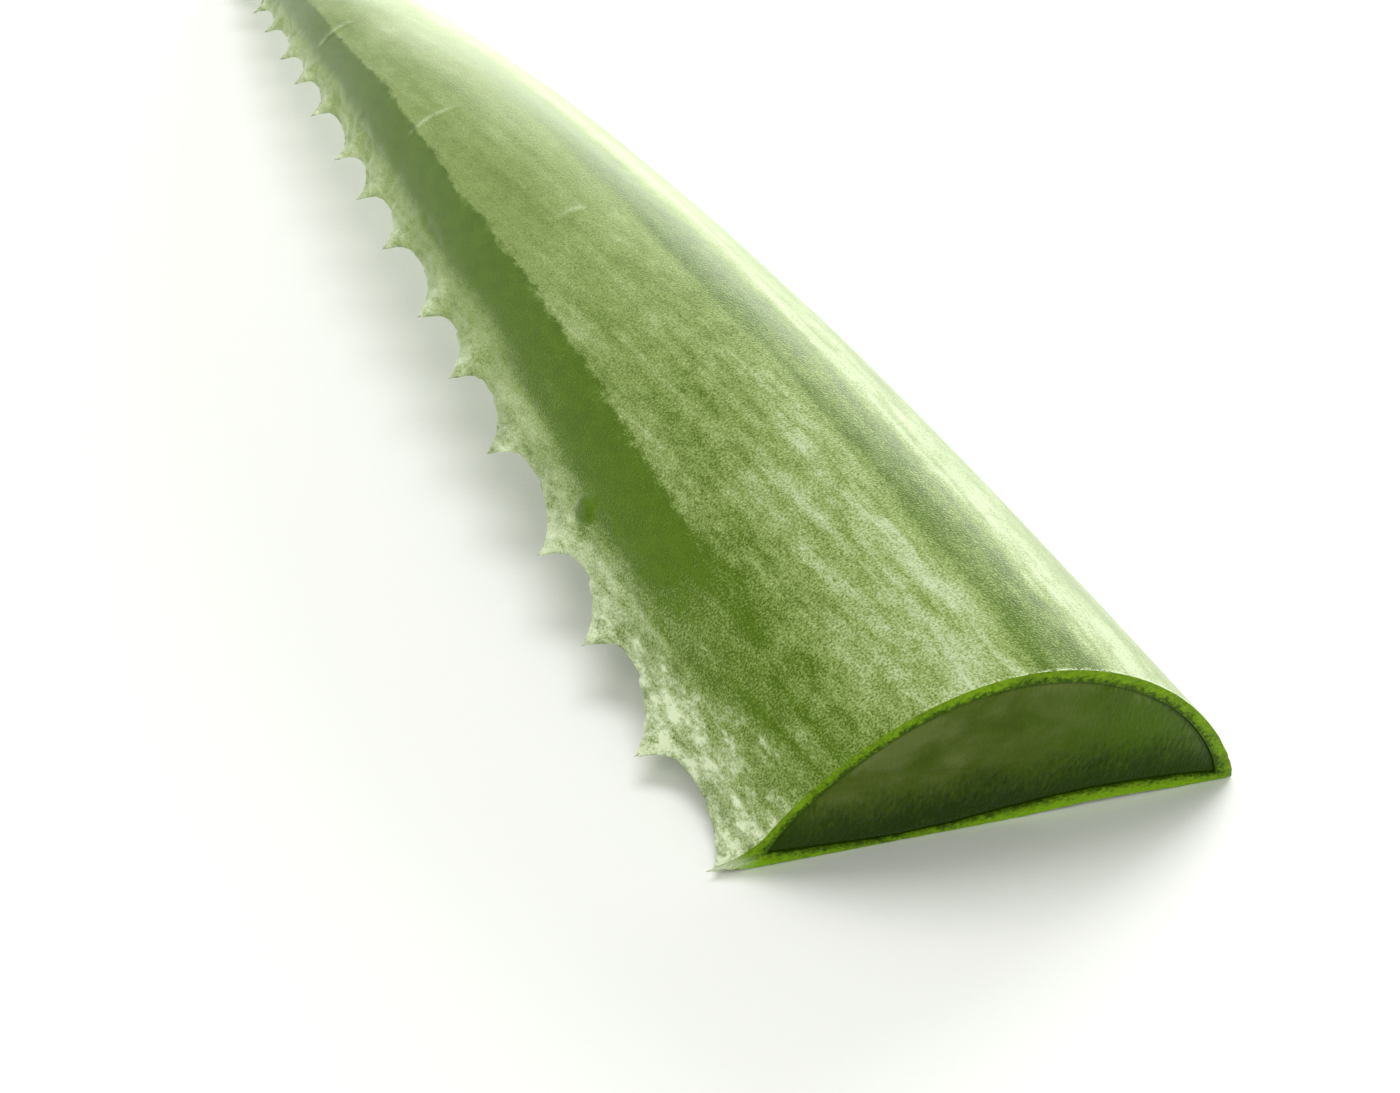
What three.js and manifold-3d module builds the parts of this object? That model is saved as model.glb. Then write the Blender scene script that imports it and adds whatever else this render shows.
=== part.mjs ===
// An aloe vera leaf, cut off at its base with a knife and laid on its flat side.
// Millimetres, +Z up. +Y runs from the cut to the tip. The origin is on the small flat
// that the leaf rests on, under the middle of the cut. It comes apart as a filleted leaf does:
//   rind  the green skin all round, with the teeth along both margins, open at the cut
//   gel   the clear flesh that fills it
import * as THREE from 'three';
import { ParametricGeometry } from 'three/addons/geometries/ParametricGeometry.js';
import { mergeVertices } from 'three/addons/utils/BufferGeometryUtils.js';
import Module from 'manifold-3d';

// Size of the leaf
const LENGTH = 420;          // along the middle, from the cut to the tip
const BASE_WIDTH = 70;       // margin to margin at the cut
const PLUMPNESS = 0.4;       // thickness over width at the cut
const THINNING = 0.28;       // share of the plumpness lost towards the tip
const TAPER = 0.76;          // power of the width's taper: 1 is a straight-sided wedge
const FULLNESS = 0.02;       // extra width gained along the leaf
const BACK_POWER = 0.775;    // roundness of the back: 0.5 is an ellipse, 1 a parabola

// How it lies
const ARCH = 22;             // rise of the middle between the cut and the tip
const SIDE_BEND = 19;        // how far the tip swings towards +X
const SINK = 1;              // how far the soft underside is pressed flat at the cut
const BASE_SETBACK = 3;      // from the origin back to the cut
const SAG = 0.6;             // unevenness of the underside at the cut
const CHANNEL = 0.22;        // depth of the underside's hollow over the thickness, mid-leaf

// Knife cut: how much further back the plane is per millimetre across and up
const CUT_SKEW = 0.06;
const CUT_OVERHANG = 0.32;

// Skin and flesh
const RIND = 2.2;            // skin thickness on the back and the underside, at the cut
const RIND_THINNING = 0.5;   // share of it lost at the tip
const MARGIN_RIND = 1.4;     // the skin's thickness at the margins over that on the back
const CLEARANCE = 0.3;       // between the skin and the flesh
const HOLLOW_END = 0.8;      // share of the length where the skin closes on itself
const FLESH_END = 0.79;      // share of the length that the flesh reaches
const END_ROUNDING = 10;     // power that draws both in towards their ends
const END_BLUNTNESS = 0.15;  // share of the section left where they end

// Teeth
const TOOTH_GAP = 25;        // mean spacing at the cut
const TOOTH_CROWDING = 0.45; // share of the spacing lost at the tip
const TOOTH_RHYTHM = [1.14, 0.97, 0.89];
const LEFT_START = 1;
const RIGHT_START = 14;
const TEETH_END = 0.95;      // share of the length that has teeth
const TOOTH_BASE = 10;       // along the margin
const TOOTH_HEIGHT = 4.8;
const TOOTH_THICKNESS = 2.6;
const TOOTH_LEAN = 1.6;      // how far its point leans towards the cut
const TOOTH_DROOP = 1.5;     // how far its point hangs below its middle
const TOOTH_ROOT = 1.2;      // how far it is sunk into the margin
const TOOTH_LIFT = 0.9;      // of its middle above the underside
const TOOTH_SHRINK = 0.6;    // share of its size lost at the tip
const TOOTH_SIDES = 8;

const SPINE_START = 0.985;   // where the end spine takes over from the leaf
const SPINE_LENGTH = 9;
const SPINE_RADIUS = 1.1;

// Facets
const STATIONS = 44;
const AROUND = 36;
const GEL_STATIONS = 30;
const GEL_AROUND = 28;

const REACH = 300;           // side of the blocks that stand for the knife and the table
const BEFORE_CUT = -0.05;    // share of the length that the uncut body starts at
const STEP_ALONG = 0.01;     // share of the length between the points that give a direction

const wasm = await Module();
wasm.setup();

const halfWidth = (t) => BASE_WIDTH / 2 * (1 - t) ** TAPER * (1 + FULLNESS * t);
const thickness = (t) => 2 * halfWidth(t) * PLUMPNESS * (1 - THINNING * t);
const smooth = (t, from, to) => THREE.MathUtils.smoothstep(t, from, to);

// Middle of the underside, at share t of the length.
function middle(t) {
  const rise = ARCH * 4 * t * (1 - t) - SINK * (1 - Math.max(t, 0) ** 4);
  return new THREE.Vector3(SIDE_BEND * t * t, LENGTH * t - BASE_SETBACK, rise);
}

// Level direction across the leaf, towards its +X margin.
function across(t) {
  return new THREE.Vector3(LENGTH, -2 * SIDE_BEND * t, 0).normalize();
}

// Direction in which the leaf runs.
function along(t) {
  return middle(t + STEP_ALONG).sub(middle(t - STEP_ALONG)).normalize();
}

// Height of the underside above its margins, at share u of the half width.
function underside(t, u) {
  const sag = SAG * Math.sin(Math.PI * u) * Math.max(1 - 2 * t, 0);
  const hollow = CHANNEL * thickness(t) * smooth(t, 0.1, 0.5) * (1 - u * u);
  return sag + hollow;
}

// How much of the section is left at share x of the way to a rounded end.
function drawnIn(x) {
  return Math.max(Math.sqrt(Math.max(1 - Math.max(x, 0) ** END_ROUNDING, 0)), END_BLUNTNESS);
}

// A point of the section `depth` inside the skin's surface, drawn in to share `size`.
// `turn` goes once round the section, over the back and home along the underside.
function sectionPoint(t, turn, depth, size) {
  const u = -Math.cos(2 * Math.PI * turn) * size;
  const low = underside(t, u) + depth;
  const high = thickness(t) - depth;
  const back = turn < 0.5 ? Math.abs(Math.sin(2 * Math.PI * turn)) ** (2 * BACK_POWER) : 0;
  const height = low + (high - low) * (0.5 + (back - 0.5) * size);
  const reach = halfWidth(t) - MARGIN_RIND * depth;
  return middle(t).addScaledVector(across(t), reach * u).setZ(middle(t).z + height);
}

// A three.js geometry as a solid: shared vertices merged, collapsed triangles dropped.
function solid(geometry) {
  geometry.deleteAttribute('normal');
  geometry.deleteAttribute('uv');
  const merged = mergeVertices(geometry, 1e-3);
  const corners = [];
  for (let i = 0; i < merged.index.count; i += 3) {
    const [a, b, c] = [0, 1, 2].map((k) => merged.index.getX(i + k));
    if (a !== b && b !== c && c !== a) corners.push(a, b, c);
  }
  return new wasm.Manifold(new wasm.Mesh({
    numProp: 3,
    vertProperties: merged.attributes.position.array,
    triVerts: new Uint32Array(corners),
  }));
}

// The closed body from before the cut to `end`, `depth(t)` inside the skin's surface.
function body(end, stations, around, depth, size) {
  const place = (turn, along, target) => {
    const step = Math.round(along * stations);
    const k = THREE.MathUtils.clamp(step - 1, 0, stations - 2);
    const t = BEFORE_CUT + (end - BEFORE_CUT) * k / (stations - 2);
    const point = (at) => sectionPoint(t, at, depth(t), size(t / end));
    if (step > 0 && step < stations) return target.copy(point(turn % 1));
    return target.copy(point(0.25)).add(point(0.75)).multiplyScalar(0.5);
  };
  return solid(new ParametricGeometry(place, around, stations));
}

// Shares of the length where one margin's teeth stand.
function toothStations(start) {
  const shares = [];
  for (let s = start, i = 0; s < TEETH_END * LENGTH; i += 1) {
    const t = s / LENGTH;
    shares.push(t);
    s += TOOTH_GAP * TOOTH_RHYTHM[i % TOOTH_RHYTHM.length] * (1 - TOOTH_CROWDING * t * t);
  }
  return shares;
}

// One tooth: a flattened cone on the margin, leaning back and down. side is -1 or 1.
function tooth(t, side) {
  const size = 1 - TOOTH_SHRINK * t;
  const outward = across(t).multiplyScalar(side);
  const forward = along(t);
  const up = new THREE.Vector3(0, 0, 1);
  const height = (TOOTH_HEIGHT + TOOTH_ROOT) * size;
  const point = outward.clone().multiplyScalar(height)
    .addScaledVector(forward, -TOOTH_LEAN * size)
    .addScaledVector(up, -TOOTH_DROOP * size);
  const root = middle(t)
    .addScaledVector(outward, halfWidth(t) - TOOTH_ROOT * size)
    .addScaledVector(up, TOOTH_LIFT * size)
    .addScaledVector(point, 0.5);
  const frame = new THREE.Matrix4().makeBasis(
    forward.multiplyScalar(-side * TOOTH_BASE * size / 2),
    point,
    up.multiplyScalar(TOOTH_THICKNESS * size / 2),
  );
  return solid(new THREE.ConeGeometry(1, 1, TOOTH_SIDES).applyMatrix4(frame.setPosition(root)));
}

// The single small spine that ends the leaf.
function endSpine() {
  const cone = new THREE.ConeGeometry(SPINE_RADIUS, SPINE_LENGTH, TOOTH_SIDES);
  const turn = new THREE.Quaternion()
    .setFromUnitVectors(new THREE.Vector3(0, 1, 0), along(SPINE_START));
  const root = middle(SPINE_START).add(new THREE.Vector3(0, 0, SPINE_RADIUS / 2));
  cone.translate(0, SPINE_LENGTH / 2 - SPINE_RADIUS, 0).applyQuaternion(turn);
  return solid(cone.translate(root.x, root.y, root.z));
}

// What the knife takes away, and the table that the soft leaf is pressed flat on.
function knife() {
  const normal = new THREE.Vector3(CUT_SKEW, 1, CUT_OVERHANG).normalize();
  const block = new THREE.BoxGeometry(REACH, REACH, REACH).translate(0, -REACH / 2, 0);
  const turn = new THREE.Quaternion().setFromUnitVectors(new THREE.Vector3(0, 1, 0), normal);
  return solid(block.applyQuaternion(turn).translate(0, -BASE_SETBACK, 0));
}

function table(height) {
  const block = new THREE.BoxGeometry(REACH, 3 * REACH, REACH);
  return solid(block.translate(0, REACH, height - REACH / 2));
}

function mesh(name, shape, look) {
  const made = shape.getMesh();
  const geometry = new THREE.BufferGeometry()
    .setAttribute('position', new THREE.BufferAttribute(made.vertProperties, 3))
    .setIndex(new THREE.BufferAttribute(made.triVerts, 1));
  const result = new THREE.Mesh(geometry, new THREE.MeshStandardMaterial(look));
  result.name = name;
  return result;
}

const skinDepth = (t) => RIND * (1 - RIND_THINNING * t);
const fleshDepth = (t) => skinDepth(t) + CLEARANCE;

let outside = body(SPINE_START, STATIONS, AROUND, () => 0, () => 1).add(endSpine());
for (const [start, side] of [[LEFT_START, -1], [RIGHT_START, 1]]) {
  for (const t of toothStations(start)) outside = outside.add(tooth(t, side));
}
const hollow = body(HOLLOW_END, GEL_STATIONS, GEL_AROUND, skinDepth, drawnIn);
const flesh = body(FLESH_END, GEL_STATIONS, GEL_AROUND, fleshDepth, drawnIn);

const rind = outside.subtract(table(0)).subtract(hollow.subtract(table(RIND))).subtract(knife());
const gel = flesh.subtract(table(RIND + CLEARANCE)).subtract(knife());

const leaf = new THREE.Group();
leaf.add(
  mesh('rind', rind, { color: 0x86a653, roughness: 0.45, metalness: 0 }),
  mesh('gel', gel, { color: 0x4a6320, roughness: 0.15, metalness: 0 }),
);

export default leaf;
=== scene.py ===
"""The looks of a cut aloe vera leaf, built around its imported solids.

The leaf lies on its flat side with +Y running from the cut to the tip and +Z up, in metres.
One rule gives every point of it, as in the solids: a D-shaped section that tapers along an
arched middle line. The same functions work on plain numbers and on the fields of a node tree.
"""

import math
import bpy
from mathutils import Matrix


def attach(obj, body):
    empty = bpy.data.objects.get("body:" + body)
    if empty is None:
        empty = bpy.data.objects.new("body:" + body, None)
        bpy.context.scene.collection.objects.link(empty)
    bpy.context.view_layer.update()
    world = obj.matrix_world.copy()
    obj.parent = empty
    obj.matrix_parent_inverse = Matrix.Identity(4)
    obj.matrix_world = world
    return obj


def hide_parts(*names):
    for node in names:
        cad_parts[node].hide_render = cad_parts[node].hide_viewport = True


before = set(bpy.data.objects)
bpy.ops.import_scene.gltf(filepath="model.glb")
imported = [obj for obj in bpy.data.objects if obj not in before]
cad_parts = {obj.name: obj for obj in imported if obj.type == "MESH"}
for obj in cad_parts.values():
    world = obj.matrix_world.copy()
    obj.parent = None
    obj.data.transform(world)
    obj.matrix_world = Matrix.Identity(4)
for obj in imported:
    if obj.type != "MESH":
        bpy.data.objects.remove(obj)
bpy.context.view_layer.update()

from types import SimpleNamespace

import bpy
from bpy.props import FloatProperty, FloatVectorProperty, PointerProperty
from mathutils import Euler, Vector

bl_info = {
    "name": "Aloe vera leaf",
    "version": (1, 0, 0),
    "blender": (4, 5, 0),
    "location": "View3D > Sidebar > Aloe",
    "description": "A cut aloe vera leaf: waxy toothed skin round clear gel",
    "category": "Add Mesh",
}

TAU = 2 * math.pi
MM = 0.001

# Fineness of the meshes
AROUND = 192                 # points round a section
INNER_RINGS = 34             # along the wall of the hollow
RIM_RINGS = 8                # across the cut edge of the skin
OUTER_RINGS = 424            # along the outside
GEL_CAP_RINGS = 40           # across the cut face of the gel
GEL_BODY_RINGS = 70
CUT_ROUNDS = 4               # rounds in which a section's start is brought onto the cut
STEP_ALONG = 0.01            # share of the length between the points that give a direction

# Where teeth stand, in metres along the leaf
TOOTH_RHYTHM = (1.14, 0.97, 0.89)
LEFT_START = 1 * MM
RIGHT_START = 14 * MM
TEETH_END = 0.95
RIGHT_TEETH = 0.68           # size of the right margin's teeth over the left's
TOOTH_CLEARANCE = 1.0 * MM   # height of the lowest tips above the floor

# Pale healed creases across the back: place along the leaf, and the share of it they cross
CREASES = (
    (138 * MM, -0.34, -0.20),
    (198 * MM, -0.72, -0.38),
    (268 * MM, -0.84, -0.48),
)
BLISTER_ALONG = 74 * MM
BLISTER_ACROSS = -0.93
BLISTER_LENGTH = 3.6 * MM
BLISTER_WIDTH = 0.034
CREASE_WIDTH = 0.0013
CREASE_BEND = 0.020
CREASE_FADE = 0.05

# Shares: how the tube's rings and the gel are set in
RING_CROWDING = 0.38         # how much closer the outside's rings stand near the cut
SKIN_END = 0.9985            # share of the length where the skin closes to a point
GEL_DEPTH = 1.05             # the gel's depth under the surface over the skin's thickness
GEL_END = 0.985              # where the gel ends over where the hollow does
GEL_CENTRE = 0.012           # share of the section left open at the middle of the cut face
FLOOR_GAP = 0.00002          # height of the pressed underside above the floor

# Grains of unevenness: size across, along and up in metres, and a shift to another pattern
SWELL_GRAIN = (0.034, 0.060, 0.034)
RIB_GRAIN = (0.0035, 0.070, 0.0035, 7.0)
PUCKER_GRAIN = (0.0045, 0.012, 0.0045, 3.0)
CRUMB_GRAIN = (0.0007, 0.0007, 0.0007)
STREAK_GRAIN = (0.0026, 0.045, 0.0026)
PATCH_GRAIN = (0.010, 0.026, 0.010, 12.0)
RAGGED_GRAIN = (0.0020, 0.0050, 0.0020, 2.0)
DRIFT_GRAIN = (0.015, 0.045, 0.015, 9.0)
SPECKLE_GRAIN = (0.00030, 0.00034, 0.00030)
CUT_GRAIN = (0.0006, 0.0006, 0.0006)
CUT_LUMP_GRAIN = (0.004, 0.004, 0.004, 4.0)
GEL_DIP_GRAIN = (0.009, 0.009, 0.009)
CLOUD_GRAIN = (0.010, 0.010, 0.007)
FIBRE_GRAIN = (0.00050, 0.00050, 0.0040)
GEL_SOFT_GRAIN = (0.005, 0.005, 0.005, 6.0)
SPINE_GRAIN = (0.001, 0.001, 0.001)
FLOOR_GRAIN = (0.0012, 0.0012, 0.0012)

# Bands of bloom, and one of painted highlight: from and to, in shares of the half width, and the
# width of their edges
BAND_LEFT_EDGE = (-0.95, -0.85)
BAND_RIGHT_EDGE = (-0.70, -0.655)
FOOT_BAND = (-0.84, -0.60, 0.09)
RIGHT_BAND = (0.03, 0.30, 0.05)
HEART = (-0.42, 0.02, 0.12)
# Painted highlight, not bloom: the right flank made paler where it catches the rim light
PAINTED_HIGHLIGHT = (0.34, 0.56, 0.14)

# Where those bands fade in or out, in metres from the cut
BAND_START = (0.036, 0.056)
FOOT_BAND_END = (0.040, 0.085)
RIGHT_BAND_END = (0.12, 0.26)
HEART_END = (0.035, 0.085)
CONTRAST_END = (0.045, 0.15)

# Tints of what is mirrored, and depths of fine relief in metres
SKIN_GLEAM = (0.72, 1.0, 0.15, 1.0)
CUT_GLEAM = (0.72, 1.0, 0.22, 1.0)
GEL_GLEAM = (0.72, 1.0, 0.25, 1.0)
SHEEN_TINT = (0.94, 1.0, 0.84, 1.0)
SPECKLE_DEPTH = 0.00010
CUT_GRAIN_DEPTH = 0.0005
GEL_RELIEF_DEPTH = 0.0005
FLOOR_RELIEF_DEPTH = 0.00003

# The stage, in metres
FLOOR_RADIUS = 6.0
FLOOR_CORNERS = 64
FLOOR_DROP = 0.1 * MM        # below the leaf's lowest points
SKY_COLOUR = (0.97, 1.0, 0.91)
KEY_SIZE = (0.9, 0.9)
KEY_PLACE = (0.1, 0.35, 1.2)
RIM_SIZE = (0.7, 0.7)
RIM_PLACE = (1.15, 1.0, 0.34)
SHEEN_SIZE = (1.7, 0.5)
SHEEN_PLACE = (1.1, 1.65, 0.24)
FILL_SIZE = (1.2, 1.2)
FILL_PLACE = (-0.9, -0.9, 1.0)
VIEW_TARGET = (-27.1 * MM, 31.0 * MM, 30.0 * MM)
SENSOR_WIDTH = 36            # in millimetres
FAR_CLIP = 50


# ---------------------------------------------------------------- fields of a node tree


def socket_named(sockets, name):
    """The socket of that name which the node's settings leave in use."""
    for socket in sockets:
        if socket.name == name and socket.enabled:
            return socket
    raise KeyError(name)


def plug(tree, value, slot):
    """Feeds a socket with a field or with a plain value."""
    if isinstance(value, Field):
        tree.links.new(value.socket, slot)
    else:
        slot.default_value = value


def add_node(tree, kind, inputs=None, **settings):
    """A new node with its settings and inputs; inputs are given by name or number."""
    node = tree.nodes.new(kind)
    for key, value in settings.items():
        setattr(node, key, value)
    for key, value in (inputs or {}).items():
        slot = node.inputs[key] if isinstance(key, int) else socket_named(node.inputs, key)
        plug(tree, value, slot)
    return node


def output(node, name):
    """The named output of a node, as a field."""
    return Field(node.id_data, socket_named(node.outputs, name))


def calculate(operation, *values):
    """A Math node on fields and plain numbers."""
    tree = next(value.tree for value in values if isinstance(value, Field))
    node = add_node(tree, "ShaderNodeMath", dict(enumerate(values)), operation=operation)
    return Field(tree, node.outputs[0])


class Field:
    """What a socket carries. Arithmetic on it adds Math nodes to its tree."""

    def __init__(self, tree, socket):
        self.tree = tree
        self.socket = socket

    def __add__(self, other):
        return calculate("ADD", self, other)

    __radd__ = __add__

    def __sub__(self, other):
        return calculate("SUBTRACT", self, other)

    def __rsub__(self, other):
        return calculate("SUBTRACT", other, self)

    def __mul__(self, other):
        return calculate("MULTIPLY", self, other)

    __rmul__ = __mul__

    def __truediv__(self, other):
        return calculate("DIVIDE", self, other)

    def __rtruediv__(self, other):
        return calculate("DIVIDE", other, self)

    def __pow__(self, other):
        return calculate("POWER", self, other)

    def __neg__(self):
        return calculate("MULTIPLY", self, -1.0)


def sine(x):
    return calculate("SINE", x)


def cosine(x):
    return calculate("COSINE", x)


def larger(a, b):
    return calculate("MAXIMUM", a, b)


def smaller(a, b):
    return calculate("MINIMUM", a, b)


def size_of(x):
    return calculate("ABSOLUTE", x)


def share_of(x):
    """x held between 0 and 1."""
    return smaller(larger(x, 0.0), 1.0)


def blend(share, a, b):
    """a where share is 0 and b where it is 1."""
    return a * (1 - share) + b * share


def smooth(x, low, high):
    """0 below low, 1 above high, and an even curve between."""
    inputs = {"Value": x, "From Min": low, "From Max": high}
    node = add_node(x.tree, "ShaderNodeMapRange", inputs, interpolation_type="SMOOTHSTEP")
    return output(node, "Result")


def hump(x, centre, reach):
    """1 at the centre, 0 from reach away."""
    return 1 - smooth(size_of(x - centre), 0.0, reach)


def plateau(x, low, high, edge):
    """1 between low and high, fading out over edge on either side."""
    return smooth(x, low - edge, low + edge) * (1 - smooth(x, high - edge, high + edge))


def vector(x, y, z):
    tree = next(value.tree for value in (x, y, z) if isinstance(value, Field))
    node = add_node(tree, "ShaderNodeCombineXYZ", {0: x, 1: y, 2: z})
    return output(node, "Vector")


def parts(v):
    node = add_node(v.tree, "ShaderNodeSeparateXYZ", {0: v})
    return [Field(v.tree, socket) for socket in node.outputs]


def vector_math(operation, result, *values):
    tree = next(value.tree for value in values if isinstance(value, Field))
    node = add_node(tree, "ShaderNodeVectorMath", dict(enumerate(values)), operation=operation)
    return output(node, result)


def plus(a, b):
    return vector_math("ADD", "Vector", a, b)


def minus(a, b):
    return vector_math("SUBTRACT", "Vector", a, b)


def dot(a, b):
    return vector_math("DOT_PRODUCT", "Value", a, b)


def length_of(v):
    return vector_math("LENGTH", "Value", v)


def scaled(v, factor):
    node = add_node(v.tree, "ShaderNodeVectorMath", {0: v}, operation="SCALE")
    plug(v.tree, factor, socket_named(node.inputs, "Scale"))
    return output(node, "Vector")


def noise(v, detail=2.0, roughness=0.5, distortion=0.0):
    """Soft noise between 0 and 1, with one bump to each unit of v."""
    inputs = {"Vector": v, "Scale": 1.0, "Detail": detail, "Roughness": roughness,
              "Distortion": distortion}
    return Field(v.tree, add_node(v.tree, "ShaderNodeTexNoise", inputs).outputs[0])


def grain_at(v, x, y, z, shift=0.0):
    """The place v measured in grains of x by y by z metres."""
    return plus(vector_math("MULTIPLY", "Vector", v, (1 / x, 1 / y, 1 / z)), (shift, shift, 0.0))


# ---------------------------------------------------------------- the leaf's rule


def half_width(leaf, t):
    return leaf.base_width / 2 * (1 - t) ** leaf.taper * (1 + leaf.fullness * t)


def thickness(leaf, t):
    return 2 * half_width(leaf, t) * leaf.plumpness * (1 - leaf.thinning * t)


def middle(leaf, t):
    """x, y and z of the middle of the underside, at share t of the length."""
    rise = leaf.arch * 4 * t * (1 - t) - leaf.sink * (1 - t ** 4)
    return leaf.side_bend * t * t, leaf.length * t - leaf.setback, rise


def across(leaf, t):
    """x and y of the level direction across the leaf."""
    drift = 2 * leaf.side_bend * t / leaf.length
    scale = 1 / (1 + drift * drift) ** 0.5
    return scale, -drift * scale


def underside(leaf, t, u):
    """Height of the underside above its margins, at share u of the half width."""
    sag = leaf.sag * sine(u * math.pi) * larger(1 - 2 * t, 0.0)
    hollow = leaf.channel * thickness(leaf, t) * smooth(t, 0.1, 0.5) * (1 - u * u)
    return sag + hollow


def section_point(leaf, t, turn, depth, size):
    """x, y and z of a point `depth` under the skin, with the section drawn in to share size."""
    angle = turn * TAU
    u = -cosine(angle) * size
    low = underside(leaf, t, u) + depth
    high = thickness(leaf, t) - depth
    back = larger(sine(angle), 0.0) ** (2 * leaf.back_power)
    height = low + (high - low) * (0.5 + (back - 0.5) * size)
    reach = (half_width(leaf, t) - leaf.margin_rind * depth) * u
    x, y, z = middle(leaf, t)
    across_x, across_y = across(leaf, t)
    return x + across_x * reach, y + across_y * reach, z + height


def beyond_cut(leaf, x, y, z):
    """How far a point lies on the leaf's side of the knife's plane, measured along Y."""
    return leaf.cut_skew * x + y + leaf.setback + leaf.cut_overhang * z


def cut_share(leaf, turn, depth, size):
    """Share of the length at which a line along the leaf meets the cut."""
    t = turn * 0.0
    for _ in range(CUT_ROUNDS):
        t = t - beyond_cut(leaf, *section_point(leaf, t, turn, depth, size)) / leaf.length
    return t


def drawn_in(leaf, x):
    """How much of the section is left at share x of the way to a rounded end."""
    left = larger(1 - larger(x, 0.0) ** leaf.end_rounding, 0.0) ** 0.5
    return larger(left, leaf.end_bluntness)


# ---------------------------------------------------------------- settings


def length_setting(name, default, description):
    return FloatProperty(
        name=name, description=description, default=default, precision=5, unit="LENGTH")


def number_setting(name, default, description):
    return FloatProperty(name=name, description=description, default=default, precision=3)


def colour_setting(name, default, description):
    return FloatVectorProperty(
        name=name, description=description, default=default, size=3, min=0, max=1,
        subtype="COLOR")


class LeafShape(bpy.types.PropertyGroup):
    """The numbers of the leaf's rule: its solids', but for a less flattened underside."""

    length: length_setting("Length", 420 * MM, "From the cut to the tip, along the middle")
    base_width: length_setting("Base width", 70 * MM, "From margin to margin at the cut")
    plumpness: number_setting("Plumpness", 0.4, "Thickness over width at the cut")
    thinning: number_setting("Thinning", 0.28, "Share of the plumpness lost at the tip")
    taper: number_setting("Taper", 0.76, "Power of the taper: 1 is a straight-sided wedge")
    fullness: number_setting("Fullness", 0.02, "Extra width gained along the leaf")
    back_power: number_setting("Back power", 0.775, "Roundness of the back: 0.5 is an ellipse")
    arch: length_setting("Arch", 22 * MM, "Rise of the middle between the cut and the tip")
    side_bend: length_setting("Side bend", 19 * MM, "How far the tip swings to one side")
    sink: length_setting("Sink", 0.35 * MM, "How far the underside is pressed flat at the cut")
    setback: length_setting("Setback", 3 * MM, "From the origin back to the cut")
    sag: length_setting("Sag", 1.1 * MM, "Unevenness of the underside at the cut")
    channel: number_setting("Channel", 0.22, "Depth of the underside's hollow over thickness")
    cut_skew: number_setting("Cut skew", 0.06, "How far the cut runs back across the leaf")
    cut_overhang: number_setting("Cut overhang", 0.32, "How far the cut leans out as it rises")
    rind: length_setting("Rind", 2.2 * MM, "Thickness of the skin at the cut")
    rind_thinning: number_setting("Rind thinning", 0.5, "Share of the skin lost at the tip")
    margin_rind: number_setting("Margin rind", 1.4, "Skin at the margins over that on the back")
    hollow_end: number_setting("Hollow end", 0.8, "Share of the length that the gel fills")
    end_rounding: number_setting("End rounding", 10, "Power that draws the gel in to its end")
    end_bluntness: number_setting("End bluntness", 0.15, "Share of the section at that end")


class TeethShape(bpy.types.PropertyGroup):
    """The teeth along both margins, and the relief of the skin."""

    gap: length_setting("Gap", 25 * MM, "Mean spacing of the teeth at the cut")
    crowding: number_setting("Crowding", 0.45, "Share of the spacing lost at the tip")
    height: length_setting("Height", 6.2 * MM, "How far a tooth stands out")
    lean: length_setting("Lean", 2.0 * MM, "How far its point leans towards the cut")
    droop: length_setting("Droop", 1.6 * MM, "How far its point hangs")
    shrink: number_setting("Shrink", 0.6, "Share of its size lost at the tip")
    cut_flank: length_setting("Cut flank", 3.2 * MM, "Run-out of its flank towards the cut")
    tip_flank: length_setting("Tip flank", 6.5 * MM, "Run-out of its flank towards the tip")
    foot: length_setting("Foot", 6.0 * MM, "How far up the margin its foot reaches")
    spine_length: length_setting("Spine length", 1.5 * MM, "Hard point of a tooth")
    spine_radius: length_setting("Spine radius", 0.42 * MM, "Radius of that point's foot")
    swell: length_setting("Swell", 0.7 * MM, "Broad unevenness of the skin")
    ribs: length_setting("Ribs", 0.16 * MM, "Fine ribs along the skin")
    wrinkles: length_setting("Wrinkles", 0.6 * MM, "Puckers beside the teeth")
    grain: length_setting("Grain", 0.16 * MM, "Roughness of the cut skin")


class Finishes(bpy.types.PropertyGroup):
    """Colours of the skin, the flesh and the floor."""

    green: colour_setting("Green", (0.085, 0.165, 0.002), "Bare skin")
    bloom: colour_setting("Bloom", (0.365, 0.465, 0.165), "Waxy bloom on the skin")
    # Frost also paints the highlight on the right flank
    frost_and_highlight: colour_setting("Frost", (0.560, 0.650, 0.420), "Thickest bloom")
    # Margin also paints the highlight along the cut edge, and partly the rim light through the
    # teeth
    margin: colour_setting("Margin", (0.700, 0.780, 0.530), "Pale skin beside the teeth")
    rim: colour_setting("Cut skin", (0.210, 0.385, 0.006), "Skin where the knife cut it")
    # Painted light: a lit copy of the cut skin for its lower edge
    rim_lit: colour_setting("Cut skin lit", (0.300, 0.560, 0.010), "Its lower edge")
    rim_dark: colour_setting("Cut skin dark", (0.040, 0.090, 0.003), "Its inner edge")
    gel: colour_setting("Gel", (0.062, 0.100, 0.004), "Flesh on the cut")
    gel_dark: colour_setting("Gel dark", (0.016, 0.042, 0.0005), "Flesh low on the cut")
    gel_lit: colour_setting("Gel lit", (0.058, 0.120, 0.0005), "Flesh that light shines through")
    gel_cloud: colour_setting("Gel cloud", (0.135, 0.175, 0.048), "Clouds in the flesh")
    spine: colour_setting("Spine", (0.070, 0.085, 0.015), "Hard point of a tooth")
    floor: colour_setting("Floor", (0.900, 0.900, 0.890), "Floor")


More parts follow.
